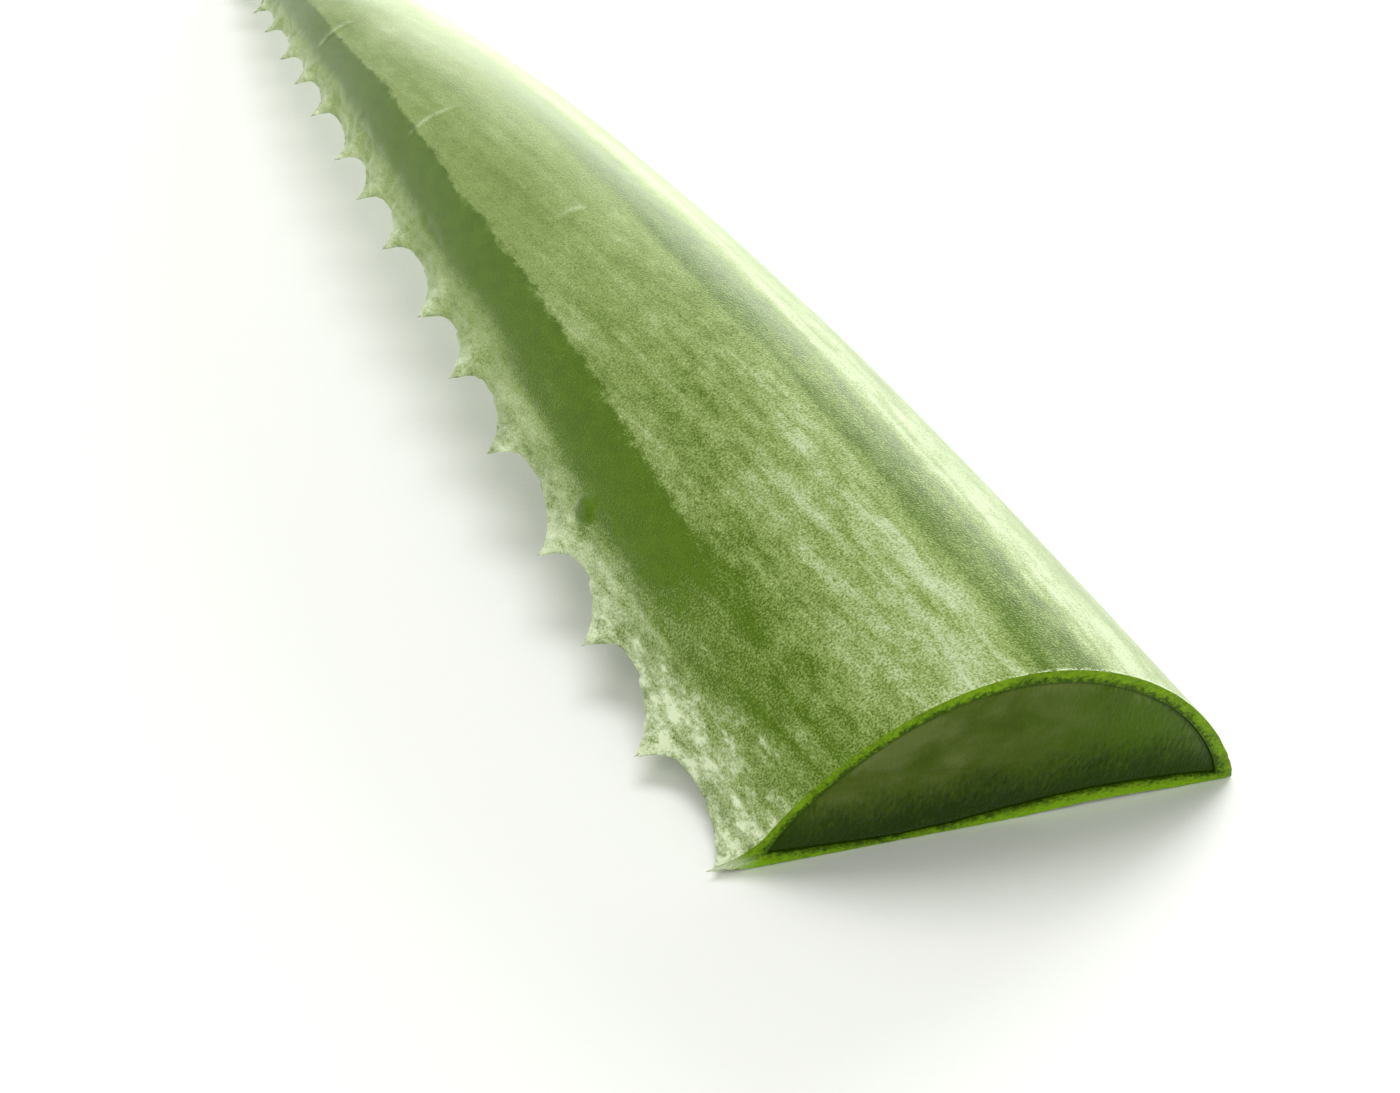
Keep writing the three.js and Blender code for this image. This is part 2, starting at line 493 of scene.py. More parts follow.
class ViewSettings(bpy.types.PropertyGroup):
    """Where the camera stands and how bright the lights are."""

    heading: FloatProperty(
        name="Heading", description="Turn of the camera to the right of +Y",
        default=math.radians(23.1), subtype="ANGLE")
    pitch: FloatProperty(
        name="Pitch", description="How far the camera looks down",
        default=math.radians(26.7), subtype="ANGLE")
    distance: length_setting("Distance", 453.5 * MM, "From the camera to what it looks at")
    lens: number_setting("Lens", 88.2, "Focal length in millimetres")
    sky: number_setting("Sky", 0.50, "Brightness of the pale surroundings")
    key: number_setting("Key light", 7.4, "Power of the light above the leaf")
    rim: number_setting("Rim light", 27.0, "Power of the low light to the right")
    sheen: number_setting("Sheen light", 10.0, "Power of the light mirrored along the back")
    fill: number_setting("Fill light", 8.0, "Power of the light before the leaf")


def numbers(settings):
    """The number settings of a group: their names in the script and for the user."""
    for name in settings.__class__.__annotations__:
        prop = settings.bl_rna.properties[name]
        if prop.type == "FLOAT" and not prop.is_array:
            yield name, prop.name


# ---------------------------------------------------------------- building pieces


def geometry_tree(name, *groups):
    """A tree with a geometry input and a named input for every number of the settings."""
    tree = bpy.data.node_groups.new(name, "GeometryNodeTree")
    tree.interface.new_socket("Geometry", in_out="INPUT", socket_type="NodeSocketGeometry")
    tree.interface.new_socket("Geometry", in_out="OUTPUT", socket_type="NodeSocketGeometry")
    for settings in groups:
        for _, label in numbers(settings):
            tree.interface.new_socket(label, in_out="INPUT", socket_type="NodeSocketFloat")
    start = tree.nodes.new("NodeGroupInput")
    fields = [Field(tree, start.outputs["Geometry"])]
    for settings in groups:
        named = {name: Field(tree, start.outputs[label]) for name, label in numbers(settings)}
        fields.append(SimpleNamespace(**named))
    return fields


def finish_tree(geometry):
    """Ends a tree with this geometry."""
    end = geometry.tree.nodes.new("NodeGroupOutput")
    plug(geometry.tree, geometry, end.inputs["Geometry"])


def run_tree(name, mesh, tree, *groups):
    """An object whose plain mesh is what the tree makes of the given one."""
    piece = bpy.data.objects.new(name, mesh)
    bpy.context.scene.collection.objects.link(piece)
    modifier = piece.modifiers.new(name, "NODES")
    modifier.node_group = tree
    identifiers = {item.name: item.identifier for item in tree.interface.items_tree
                   if item.in_out == "INPUT"}
    for settings in groups:
        for field, label in numbers(settings):
            modifier[identifiers[label]] = getattr(settings, field)
    depsgraph = bpy.context.evaluated_depsgraph_get()
    made = bpy.data.meshes.new_from_object(
        piece.evaluated_get(depsgraph), preserve_all_data_layers=True, depsgraph=depsgraph)
    piece.modifiers.clear()
    piece.data = made
    if not made.polygons:
        raise RuntimeError(f"{name} came out empty")
    return piece


def position(tree):
    return output(tree.nodes.new("GeometryNodeInputPosition"), "Position")


def normal(tree):
    return output(tree.nodes.new("GeometryNodeInputNormal"), "Normal")


def stored(tree, name, kind="FLOAT"):
    """An attribute stored on the geometry."""
    node = add_node(tree, "GeometryNodeInputNamedAttribute", data_type=kind)
    node.inputs["Name"].default_value = name
    return output(node, "Attribute")


def store(geometry, name, value):
    """Keeps a number on every point of the geometry."""
    node = add_node(geometry.tree, "GeometryNodeStoreNamedAttribute",
                    {"Geometry": geometry, "Name": name}, data_type="FLOAT", domain="POINT")
    plug(geometry.tree, value, socket_named(node.inputs, "Value"))
    return output(node, "Geometry")


def place(geometry, value):
    """Moves every point of the geometry to value."""
    node = add_node(geometry.tree, "GeometryNodeSetPosition",
                    {"Geometry": geometry, "Position": value})
    return output(node, "Geometry")


def shift(geometry, offset):
    node = add_node(geometry.tree, "GeometryNodeSetPosition",
                    {"Geometry": geometry, "Offset": offset})
    return output(node, "Geometry")


def paint(geometry, material, selection=True):
    node = add_node(geometry.tree, "GeometryNodeSetMaterial",
                    {"Geometry": geometry, "Material": material, "Selection": selection})
    return output(node, "Geometry")


def tube(tree, around, rings):
    """A closed tube to be shaped: its geometry, its turn in shares and its ring's number."""
    inputs = {"Vertices": around, "Side Segments": rings, "Radius": 1.0, "Depth": 1.0}
    node = add_node(tree, "GeometryNodeMeshCylinder", inputs, fill_type="NGON")
    x, y, z = parts(position(tree))
    turn = calculate("ARCTAN2", y, x) / TAU + 0.5
    return output(node, "Mesh"), turn, (z + 0.5) * rings


def tooth_points(leaf, teeth):
    """A mesh with one point at the foot of each tooth, and where its tip aims."""
    points, aims, runs, growths = [], [], [], []
    for start, side, share in ((LEFT_START, -1, 1), (RIGHT_START, 1, RIGHT_TEETH)):
        along = start
        count = 0
        while along < TEETH_END * leaf.length:
            t = along / leaf.length
            growth = (1 - teeth.shrink * t) * share
            ahead = Vector(middle(leaf, t + STEP_ALONG))
            run = (ahead - Vector(middle(leaf, t - STEP_ALONG))).normalized()
            outward = Vector((*across(leaf, t), 0)) * side
            foot = Vector(middle(leaf, t)) + outward * half_width(leaf, t)
            aim = (outward * teeth.height - run * teeth.lean) * growth
            aim.z = max(-teeth.droop * growth, TOOTH_CLEARANCE - foot.z)
            points.append(foot)
            aims.append(aim)
            runs.append(run)
            growths.append(growth)
            rhythm = TOOTH_RHYTHM[count % len(TOOTH_RHYTHM)]
            along += teeth.gap * rhythm * (1 - teeth.crowding * t * t)
            count += 1
    mesh = bpy.data.meshes.new("tooth points")
    mesh.from_pydata(points, [], [])
    for name, values in (("aim", aims), ("run", runs)):
        attribute = mesh.attributes.new(name, "FLOAT_VECTOR", "POINT")
        attribute.data.foreach_set("vector", [c for value in values for c in value])
    mesh.attributes.new("growth", "FLOAT", "POINT").data.foreach_set("value", growths)
    return mesh


def sample(geometry, value, index, kind="FLOAT_VECTOR"):
    """A value of the geometry's point of that number."""
    node = add_node(geometry.tree, "GeometryNodeSampleIndex",
                    {"Geometry": geometry, "Index": index}, data_type=kind, domain="POINT")
    plug(geometry.tree, value, socket_named(node.inputs, "Value"))
    return output(node, "Value")


def tooth_pull(roots, teeth, here):
    """How the nearest tooth draws the skin out, and how near it is."""
    tree = here.tree
    nearest = output(add_node(tree, "GeometryNodeSampleNearest",
                              {"Geometry": roots, "Sample Position": here}), "Index")
    foot = sample(roots, position(tree), nearest)
    aim = sample(roots, stored(tree, "aim", "FLOAT_VECTOR"), nearest)
    run = sample(roots, stored(tree, "run", "FLOAT_VECTOR"), nearest)
    growth = sample(roots, stored(tree, "growth"), nearest, "FLOAT")
    away = minus(here, foot)
    along = dot(away, run)
    off_line = length_of(minus(away, scaled(run, along)))
    flank = larger(along, 0.0) / teeth.tip_flank + larger(-along, 0.0) / teeth.cut_flank
    cusp = calculate("EXPONENT", -flank / growth)
    hold = share_of(1 - off_line / (teeth.foot * growth)) ** 2.0
    whole = share_of(1 - off_line / (teeth.foot * growth * 1.5)) ** 2.0
    return scaled(aim, cusp * hold), cusp * whole


def creases(s, u):
    """How strongly a healed crease marks the skin, s metres along at share u across."""
    total = s * 0.0
    for place_along, low, high in CREASES:
        bent = s + (u - low) * (u - low) * CREASE_BEND
        line = hump(bent, place_along, CREASE_WIDTH)
        total = total + line * plateau(u, low, high, CREASE_FADE)
    return total


def blister(s, u):
    """1 in the middle of the blister beside a tooth, 0 outside it."""
    along = (s - BLISTER_ALONG) / BLISTER_LENGTH
    aside = (u - BLISTER_ACROSS) / BLISTER_WIDTH
    return 1 - smooth((along * along + aside * aside) ** 0.5, 0.45, 1.0)


def puckers(u, here):
    """Folds of the skin beside the teeth, from -1 to 1."""
    margin = smooth(size_of(u), 0.84, 0.97)
    pucker = noise(grain_at(here, *PUCKER_GRAIN), 2.0, 0.5, 1.2)
    return (0.22 - size_of(pucker - 0.5) * 3.2) * margin


def skin_relief(leaf, teeth, t, u, back, here):
    """Height of the skin's swells, ribs and marks over its smooth shape."""
    s = t * leaf.length
    swell = (noise(grain_at(here, *SWELL_GRAIN), 1.0) - 0.5) * teeth.swell
    ribs = (noise(grain_at(here, *RIB_GRAIN), 1.0) - 0.5) * teeth.ribs
    marks = (creases(s, u) * 0.25 + blister(s, u) * 0.9) * smooth(back, 0.0, 0.05) * teeth.wrinkles
    return swell + ribs + marks + puckers(u, here) * teeth.wrinkles


def flatten(geometry, leaf):
    """Trims what crosses the knife's plane and presses the underside flat on the floor."""
    x, y, z = parts(position(geometry.tree))
    y = y + larger(-beyond_cut(leaf, x, y, z), 0.0)
    return place(geometry, vector(x, y, larger(z, FLOOR_GAP)))


def skin_tree(settings, skin, cut_skin):
    """The skin: wall of the hollow, cut edge and outside, shaped from one tube."""
    roots, leaf, teeth = geometry_tree("leaf skin", settings.leaf, settings.teeth)
    tree = roots.tree
    rings = INNER_RINGS + RIM_RINGS + OUTER_RINGS
    geometry, turn, ring = tube(tree, AROUND, rings)
    inner = share_of(ring / INNER_RINGS)
    rim = share_of((ring - INNER_RINGS) / RIM_RINGS)
    outer = share_of((ring - INNER_RINGS - RIM_RINGS) / OUTER_RINGS)
    start = cut_share(leaf, turn, leaf.rind * (1 - rim), turn * 0.0 + 1)
    run_in = (1 - inner) * (leaf.hollow_end - start)
    run_out = outer * (1 - RING_CROWDING + RING_CROWDING * outer)
    reach = run_in + run_out * (SKIN_END - start)
    geometry = store(geometry, "turn", turn)
    geometry = store(geometry, "share", start + reach)
    geometry = store(geometry, "rim", rim)
    geometry = store(geometry, "outer", outer)
    geometry = store(geometry, "ring", ring)
    turn, t, rim = (stored(tree, name) for name in ("turn", "share", "rim"))
    size = blend(rim, drawn_in(leaf, t / leaf.hollow_end), 1)
    depth = leaf.rind * (1 - leaf.rind_thinning * t) * (1 - rim)
    geometry = place(geometry, vector(*section_point(leaf, t, turn, depth, size)))
    geometry = store(geometry, "across", -cosine(turn * TAU))
    geometry = store(geometry, "back", larger(sine(turn * TAU), 0.0))
    pull, tooth = tooth_pull(roots, teeth, position(tree))
    geometry = store(geometry, "tooth", tooth)
    geometry = shift(geometry, scaled(pull, rim))
    here = position(tree)
    across_share = stored(tree, "across")
    geometry = store(geometry, "fold", puckers(across_share, here))
    relief = skin_relief(leaf, teeth, t, across_share, stored(tree, "back"), here)
    relief = relief * smooth(rim, 0.5, 1.0) * (1 - smooth(t, 0.85, 1.0))
    edge = rim * (1 - rim) * 4
    crumbs = (noise(grain_at(here, *CRUMB_GRAIN), 1.0) - 0.42) * edge * teeth.grain * 2
    geometry = shift(geometry, scaled(normal(tree), relief + crumbs))
    geometry = flatten(geometry, leaf)
    geometry = paint(geometry, skin)
    cut_faces = calculate("LESS_THAN", stored(tree, "ring"), INNER_RINGS + RIM_RINGS - 0.25)
    finish_tree(paint(geometry, cut_skin, cut_faces))
    return tree


def gel_tree(settings, material):
    """The gel: cut face and body, shaped from one tube."""
    base, leaf = geometry_tree("leaf gel", settings.leaf)
    tree = base.tree
    geometry, turn, ring = tube(tree, AROUND, GEL_CAP_RINGS + GEL_BODY_RINGS)
    cap = share_of(ring / GEL_CAP_RINGS)
    body = share_of((ring - GEL_CAP_RINGS) / GEL_BODY_RINGS)
    spread = larger(cap, GEL_CENTRE)
    start = cut_share(leaf, turn, leaf.rind * GEL_DEPTH, spread)
    geometry = store(geometry, "turn", turn)
    geometry = store(geometry, "spread", spread)
    geometry = store(geometry, "body", body)
    geometry = store(geometry, "share", start + body * (leaf.hollow_end * GEL_END - start))
    turn, spread, t = (stored(tree, name) for name in ("turn", "spread", "share"))
    size = spread * drawn_in(leaf, t / (leaf.hollow_end * GEL_END))
    depth = leaf.rind * GEL_DEPTH * (1 - leaf.rind_thinning * t)
    geometry = place(geometry, vector(*section_point(leaf, t, turn, depth, size)))
    back = larger(sine(turn * TAU), 0.0) ** (2 * leaf.back_power)
    geometry = store(geometry, "across", -cosine(turn * TAU) * spread)
    geometry = store(geometry, "height", 0.5 + (back - 0.5) * spread)
    here = position(tree)
    face = 1 - smooth(stored(tree, "body"), 0.0, 0.01)
    dip = 0.00012 + (noise(grain_at(here, *GEL_DIP_GRAIN), 2.0) - 0.5) * 0.0005
    edge = smooth(spread, 0.93, 1.0) * 0.0002
    geometry = shift(geometry, vector(0.0, (dip + edge) * face, 0.0))
    finish_tree(paint(geometry, material))
    return tree


def spine_tree(settings, material):
    """Hard points on the tips of the teeth, one for each foot point."""
    roots, leaf, teeth = geometry_tree("tooth spines", settings.leaf, settings.teeth)
    tree = roots.tree
    cone = output(add_node(tree, "GeometryNodeMeshCone", {
        "Vertices": 16, "Side Segments": 10, "Radius Top": 0.0,
        "Radius Bottom": teeth.spine_radius, "Depth": teeth.spine_length}), "Mesh")
    x, y, z = parts(position(tree))
    up = z / teeth.spine_length
    cone = place(cone, vector(x * (1 - up * 0.35), y + up * up * teeth.spine_radius * 0.5, z))
    aim = stored(tree, "aim", "FLOAT_VECTOR")
    tips = shift(roots, scaled(aim, 0.8))
    left = calculate("GREATER_THAN", beyond_cut(leaf, *parts(plus(position(tree), aim))), 0.0)
    turned = output(add_node(tree, "FunctionNodeAlignRotationToVector", {"Vector": aim},
                             axis="Z"), "Rotation")
    spines = output(add_node(tree, "GeometryNodeInstanceOnPoints", {
        "Points": tips, "Selection": left, "Instance": cone, "Rotation": turned,
        "Scale": vector(*[stored(tree, "growth")] * 3)}), "Instances")
    spines = output(add_node(tree, "GeometryNodeRealizeInstances", {"Geometry": spines}),
                    "Geometry")
    finish_tree(paint(spines, material))
    return tree


# ---------------------------------------------------------------- materials


def material_tree(name):
    """A new material's tree, emptied, and its shader node."""
    material = bpy.data.materials.new(name)
    material.use_nodes = True
    tree = material.node_tree
    tree.nodes.clear()
    shader = tree.nodes.new("ShaderNodeBsdfPrincipled")
    end = tree.nodes.new("ShaderNodeOutputMaterial")
    tree.links.new(shader.outputs["BSDF"], end.inputs["Surface"])
    return material, tree, shader


def attribute(tree, name):
    """A number stored on the mesh."""
    node = add_node(tree, "ShaderNodeAttribute", attribute_name=name)
    return Field(tree, node.outputs["Fac"])


def object_place(tree):
    return output(tree.nodes.new("ShaderNodeTexCoord"), "Object")


def mix(share, a, b):
    """A colour between a and b; each is a field or three numbers."""
    node = add_node(share.tree, "ShaderNodeMix", {"Factor": share}, data_type="RGBA")
    for name, colour in (("A", a), ("B", b)):
        value = colour if isinstance(colour, Field) else (*colour, 1.0)
        plug(share.tree, value, socket_named(node.inputs, name))
    return output(node, "Result")


def bump(shader, height, distance):
    """Fine relief on a shader, `height` from 0 to 1 standing for `distance` metres."""
    tree = height.tree
    node = add_node(tree, "ShaderNodeBump", {"Height": height, "Distance": distance})
    tree.links.new(node.outputs["Normal"], shader.inputs["Normal"])


def skin_level(s, u, back, here):
    """How much bloom is left on the skin: 0 is rubbed bare, 1 is whole. A painted highlight on the
    right flank raises it there.
    """
    streaks = noise(grain_at(here, *STREAK_GRAIN), 4.0, 0.5, 0.5) - 0.5
    patches = noise(grain_at(here, *PATCH_GRAIN), 4.0, 0.6) - 0.5
    ragged = noise(grain_at(here, *RAGGED_GRAIN), 4.0, 0.7) - 0.5
    drift = noise(grain_at(here, *DRIFT_GRAIN), 2.0) - 0.5
    v = u + drift * 0.14 + ragged * 0.10
    band = smooth(v + patches * 0.10, *BAND_LEFT_EDGE) * (1 - smooth(v, *BAND_RIGHT_EDGE))
    band = band * smooth(s + ragged * 0.04, *BAND_START) * (1 - larger(patches, 0.0) * 1.1)
    foot_band = plateau(v, *FOOT_BAND) * (1 - smooth(s, *FOOT_BAND_END))
    right_band = plateau(v, *RIGHT_BAND) * (1 - smooth(s, *RIGHT_BAND_END))
    heart = plateau(v, *HEART) * (1 - smooth(s, *HEART_END))
    near = 1 - smooth(s, *CONTRAST_END) * 0.55
    level = 0.57 + (streaks * 1.0 + patches * 0.8 + ragged * 0.65) * near + heart * 0.16
    # Painted highlight: bloom and frost colour raised on the right flank where the rim light falls
    level = level + plateau(u, *PAINTED_HIGHLIGHT) * 0.34
    level = level - band * 0.70 - foot_band * 0.34 - right_band * 0.34
    level = level - (1 - smooth(back, 0.0, 0.02)) * 0.2 + smooth(s, 0.10, 0.30) * 0.04
    return level, ragged


def skin_material(colours, leaf):
    """Green skin under a rubbed waxy bloom, with a bare band along one side; painted highlights on
    the right flank, along the cut edge and partly on the teeth.
    """
    material, tree, shader = material_tree("waxy skin")
    here = object_place(tree)
    s = attribute(tree, "share") * leaf.length
    u = attribute(tree, "across")
    level, ragged = skin_level(s, u, attribute(tree, "back"), here)
    spot = blister(s, u)
    level = level - spot * 0.9
    speckle = noise(grain_at(here, *SPECKLE_GRAIN), 1.0, 0.5) - 0.5
    speckle = speckle * (1 - smooth(s, 0.05, 0.16) * 0.5)
    # Bloom cover, raised on the right flank by the painted highlight
    wax_and_highlight = smooth(level + speckle * 1.45, 0.0, 1.1)
    shade = smooth(ragged + speckle, -0.25, 0.25)
    green = mix(shade, tuple(c * 0.75 for c in colours.green), tuple(colours.green))
    # Thickest bloom, and the painted highlight on the right flank
    frost_and_highlight = smooth(level + speckle * 0.6, 0.55, 1.10)
    colour = mix(wax_and_highlight, green, mix(frost_and_highlight, tuple(colours.bloom), tuple(colours.frost_and_highlight)))
    young = 1 - smooth(s, 0.03, 0.13) * 0.7
    # Painted highlight: a thin pale line along the skin's edge at the cut, where the edge catches
    # the light
    edge_highlight = (1 - smooth(attribute(tree, "outer"), 0.0, 0.0028)) * smooth(u + ragged, -0.5, 0.1)
    chalk = smooth(ragged * 1.3 + level, 0.45, 1.0) * (1 - smooth(s, 0.02, 0.07))
    # Pale margins and teeth: their own pale colour, and on the teeth partly painted rim light
    # shining through
    pale = smooth(size_of(u), 0.92, 1.0) * 0.30 * young + attribute(tree, "tooth") * 0.8
    pale = pale + chalk * smooth(size_of(u), 0.60, 0.90) * 0.6
    pale = pale + larger(attribute(tree, "fold"), 0.0) * young + creases(s, u) * 0.35
    edge_highlight = edge_highlight * smooth(ragged + speckle, -0.16, 0.10) * 0.85
    pale = share_of(pale * (0.8 + ragged * 4.0 + speckle) + edge_highlight) * (1 - spot)
    colour = mix(pale, colour, tuple(colours.margin))
    plug(tree, colour, shader.inputs["Base Color"])
    plug(tree, 0.30 + wax_and_highlight * 0.22, shader.inputs["Roughness"])
    shader.inputs["Specular IOR Level"].default_value = 0.20
    shader.inputs["Sheen Weight"].default_value = 0.55
    shader.inputs["Sheen Roughness"].default_value = 0.30
    shader.inputs["Sheen Tint"].default_value = SHEEN_TINT
    shader.inputs["Specular Tint"].default_value = SKIN_GLEAM
    bump(shader, speckle + 0.5, SPECKLE_DEPTH)
    return material


def cut_skin_material(colours):
    """Moist, granular green of the skin where the knife went through, with painted light on its
    lower edge.
    """
    material, tree, shader = material_tree("cut skin")
    here = object_place(tree)
    rim = attribute(tree, "rim")
    grains = noise(grain_at(here, *CUT_GRAIN), 3.0, 0.6) - 0.5
    lumps = noise(grain_at(here, *CUT_LUMP_GRAIN), 2.0) - 0.5
    low = 1 - smooth(attribute(tree, "back"), 0.0, 0.05)
    # The low term paints light on the lower edge; grains, lumps and the darker inner edge are the
    # skin's own
    light = smooth(rim + grains * 0.9, 0.05, 0.60) * 0.70 + low * 0.25
    light = light + grains * 1.5 + lumps * 1.2
    colour = mix(share_of(light), tuple(colours.rim_dark), tuple(colours.rim))
    # Painted light: the lower edge mixed towards the lit copy of the cut skin
    colour = mix(low * share_of(rim + grains), colour, tuple(colours.rim_lit))
    # White tooth tip at the corner: its own pale colour and partly painted rim light
    tip = smooth(attribute(tree, "tooth"), 0.35, 0.75)
    colour = mix(tip, colour, tuple(colours.margin))
    plug(tree, colour, shader.inputs["Base Color"])
    shader.inputs["Roughness"].default_value = 0.45
    shader.inputs["Specular IOR Level"].default_value = 0.12
    shader.inputs["Specular Tint"].default_value = CUT_GLEAM
    bump(shader, grains + 0.5, CUT_GRAIN_DEPTH)
    return material


def gel_material(colours):
    """Wet, cloudy flesh, darker towards its lower edge, where the border is streaked."""
    material, tree, shader = material_tree("clear gel")
    here = object_place(tree)
    u = attribute(tree, "across")
    height = attribute(tree, "height")
    spread = attribute(tree, "spread")
    clouds = noise(grain_at(here, *CLOUD_GRAIN), 4.0, 0.55, 0.5)
    fibres = noise(grain_at(here, *FIBRE_GRAIN), 2.0) - 0.5
    soft = noise(grain_at(here, *GEL_SOFT_GRAIN), 3.0) - 0.5
    # Darker towards the lower edge, with a streaky border
    low = 1 - smooth(height + fibres * 0.45 + soft * 0.30, 0.06, 0.44)
    colour = mix(smooth(u, -0.2, 0.7), tuple(colours.gel), tuple(colours.gel_lit))
    cloudy = smooth(clouds, 0.42, 0.68) * smooth(height, 0.15, 0.50) * (1 - smooth(u, 0.0, 0.6))
    colour = mix(share_of(cloudy * 0.65), colour, tuple(colours.gel_cloud))
    deep = (1 - smooth(clouds, 0.30, 0.50)) * 0.3
    colour = mix(share_of(low * 0.95 + deep), colour, tuple(colours.gel_dark))
    edge = smooth(spread + soft * 0.16, 0.84, 0.97) * smooth(height, 0.3, 0.6)
    wisps = edge * smooth(fibres + soft * 1.4, 0.02, 0.22)
    colour = mix(share_of(wisps * 0.55), colour, tuple(colours.gel_cloud))
    wall = smooth(spread + fibres * 0.03, 0.965, 0.995)
    colour = mix(wall * 0.8, colour, tuple(colours.gel_dark))
    plug(tree, colour, shader.inputs["Base Color"])
    shader.inputs["Roughness"].default_value = 0.3
    shader.inputs["Specular IOR Level"].default_value = 0.16
    shader.inputs["Specular Tint"].default_value = GEL_GLEAM
    bump(shader, clouds + fibres * 0.5, GEL_RELIEF_DEPTH)
    return material


def spine_material(colours):
    """Horny point, mottled pale and dark."""
    material, tree, shader = material_tree("tooth spine")
    here = object_place(tree)
    tone = noise(grain_at(here, *SPINE_GRAIN), 2.0)
    colour = mix(tone, tuple(colours.spine), tuple(colours.margin))
    plug(tree, colour, shader.inputs["Base Color"])
    shader.inputs["Roughness"].default_value = 0.4
    return material


def floor_material(colours):
    """Pale, faintly rough card."""
    material, tree, shader = material_tree("pale floor")
    tooth = noise(grain_at(object_place(tree), *FLOOR_GRAIN), 3.0)
    colour = mix(tooth, tuple(colours.floor), tuple(c * 0.99 for c in colours.floor))
    plug(tree, colour, shader.inputs["Base Color"])
    shader.inputs["Roughness"].default_value = 0.55
    bump(shader, tooth, FLOOR_RELIEF_DEPTH)
    return material


# ---------------------------------------------------------------- operators


def sharpen(piece, degrees=38):
    """Smooth shading with crisp cut edges."""
    mesh = piece.data
    mesh.shade_smooth()
    mesh.set_sharp_from_angle(angle=math.radians(degrees))


class ALOE_OT_skin(bpy.types.Operator):
    """Make the toothed skin of the leaf"""

    bl_idname = "aloe.skin"
    bl_label = "Skin"

    def execute(self, context):
        settings = context.scene.aloe
        skin = skin_material(settings.finishes, settings.leaf)
        cut_skin = cut_skin_material(settings.finishes)
        roots = tooth_points(settings.leaf, settings.teeth)
        tree = skin_tree(settings, skin, cut_skin)
        piece = run_tree("leaf_skin", roots, tree, settings.leaf, settings.teeth)
        sharpen(piece)
        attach(piece, "root")
        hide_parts("rind")
        return {"FINISHED"}


class ALOE_OT_gel(bpy.types.Operator):
    """Make the clear flesh inside the skin"""

    bl_idname = "aloe.gel"
    bl_label = "Gel"

    def execute(self, context):
        settings = context.scene.aloe
        tree = gel_tree(settings, gel_material(settings.finishes))
        piece = run_tree("leaf_gel", bpy.data.meshes.new("gel start"), tree, settings.leaf)
        sharpen(piece)
        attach(piece, "root")
        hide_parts("gel")
        return {"FINISHED"}


class ALOE_OT_spines(bpy.types.Operator):
    """Make the hard points of the teeth"""

    bl_idname = "aloe.spines"
    bl_label = "Tooth spines"

    def execute(self, context):
        settings = context.scene.aloe
        roots = tooth_points(settings.leaf, settings.teeth)
        tree = spine_tree(settings, spine_material(settings.finishes))
        piece = run_tree("tooth_spines", roots, tree, settings.leaf, settings.teeth)
        sharpen(piece)
        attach(piece, "root")
        return {"FINISHED"}


def area_light(name, power, size, place, target, glare=True):
    """A soft light of that width and height, aimed at the target and mirrored if it glares."""
    data = bpy.data.lights.new(name, "AREA")
    data.energy = power
    data.shape = "RECTANGLE"
    data.size, data.size_y = size
    light = bpy.data.objects.new(name, data)
    light.location = place
    light.rotation_euler = (Vector(place) - Vector(target)).to_track_quat("Z", "Y").to_euler()
    light.visible_camera = False
    light.visible_glossy = glare
    bpy.context.scene.collection.objects.link(light)
    return light


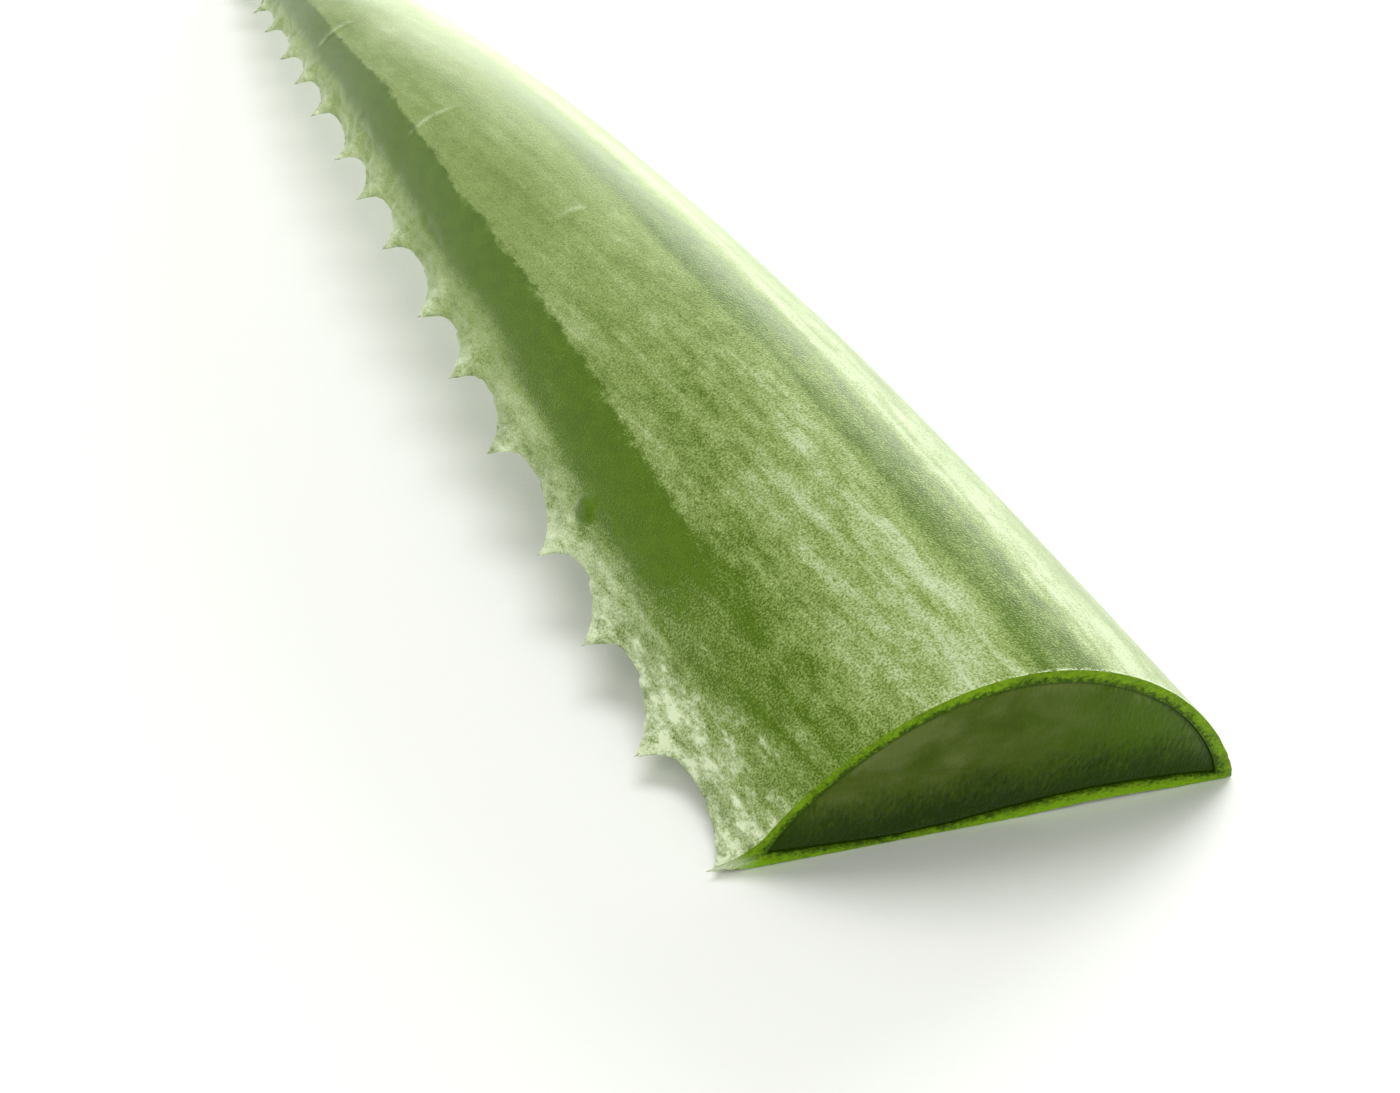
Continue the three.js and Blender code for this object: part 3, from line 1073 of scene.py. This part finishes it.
class ALOE_OT_stage(bpy.types.Operator):
    """Set the pale floor, the lights and the camera"""

    bl_idname = "aloe.stage"
    bl_label = "Stage"

    def execute(self, context):
        settings = context.scene.aloe
        view = settings.view
        scene = context.scene
        mesh = bpy.data.meshes.new("floor")
        corners = []
        for corner in range(FLOOR_CORNERS):
            angle = corner * TAU / FLOOR_CORNERS
            level = -FLOOR_DROP
            corners.append((FLOOR_RADIUS * math.cos(angle), FLOOR_RADIUS * math.sin(angle), level))
        mesh.from_pydata(corners, [], [range(FLOOR_CORNERS)])
        mesh.materials.append(floor_material(settings.finishes))
        floor = bpy.data.objects.new("floor", mesh)
        scene.collection.objects.link(floor)

        world = bpy.data.worlds.new("pale surroundings")
        world.use_nodes = True
        world.node_tree.nodes["Background"].inputs["Color"].default_value = (*SKY_COLOUR, 1)
        world.node_tree.nodes["Background"].inputs["Strength"].default_value = view.sky
        scene.world = world

        target = Vector(VIEW_TARGET)
        area_light("key light", view.key, KEY_SIZE, KEY_PLACE, target)
        area_light("rim light", view.rim, RIM_SIZE, RIM_PLACE, target, glare=False)
        area_light("sheen light", view.sheen, SHEEN_SIZE, SHEEN_PLACE, target)
        area_light("fill light", view.fill, FILL_SIZE, FILL_PLACE, target)

        lens = bpy.data.cameras.new("camera")
        lens.lens = view.lens
        lens.sensor_width = SENSOR_WIDTH
        lens.clip_end = FAR_CLIP
        camera = bpy.data.objects.new("camera", lens)
        turn = Euler((math.pi / 2 - view.pitch, 0, -view.heading))
        camera.rotation_euler = turn
        camera.location = target + turn.to_matrix() @ Vector((0, 0, view.distance))
        scene.collection.objects.link(camera)
        scene.camera = camera
        scene.view_settings.view_transform = "Standard"
        return {"FINISHED"}


class AloeSettings(bpy.types.PropertyGroup):
    """Everything that shapes and colours the leaf."""

    leaf: PointerProperty(name="Leaf", description="Shape of the leaf", type=LeafShape)
    teeth: PointerProperty(name="Teeth", description="Teeth and relief", type=TeethShape)
    finishes: PointerProperty(name="Finishes", description="Colours", type=Finishes)
    view: PointerProperty(name="View", description="Camera and lights", type=ViewSettings)


class ALOE_PT_panel(bpy.types.Panel):
    """The pieces of the leaf and its settings"""

    bl_label = "Aloe leaf"
    bl_idname = "ALOE_PT_panel"
    bl_space_type = "VIEW_3D"
    bl_region_type = "UI"
    bl_category = "Aloe"

    def draw(self, context):
        settings = context.scene.aloe
        for operator in OPERATORS:
            self.layout.operator(operator.bl_idname)
        for group in (settings.leaf, settings.teeth, settings.finishes, settings.view):
            box = self.layout.box()
            for name in group.__class__.__annotations__:
                box.prop(group, name)


GROUPS = (LeafShape, TeethShape, Finishes, ViewSettings, AloeSettings)
OPERATORS = (ALOE_OT_skin, ALOE_OT_gel, ALOE_OT_spines, ALOE_OT_stage)


def register():
    for item in (*GROUPS, *OPERATORS, ALOE_PT_panel):
        bpy.utils.register_class(item)
    bpy.types.Scene.aloe = PointerProperty(type=AloeSettings)


def unregister():
    del bpy.types.Scene.aloe
    for item in reversed((*GROUPS, *OPERATORS, ALOE_PT_panel)):
        bpy.utils.unregister_class(item)


def main():
    register()
    bpy.ops.aloe.skin()
    bpy.ops.aloe.gel()
    bpy.ops.aloe.spines()
    bpy.ops.aloe.stage()


if __name__ == "__main__":
    main()
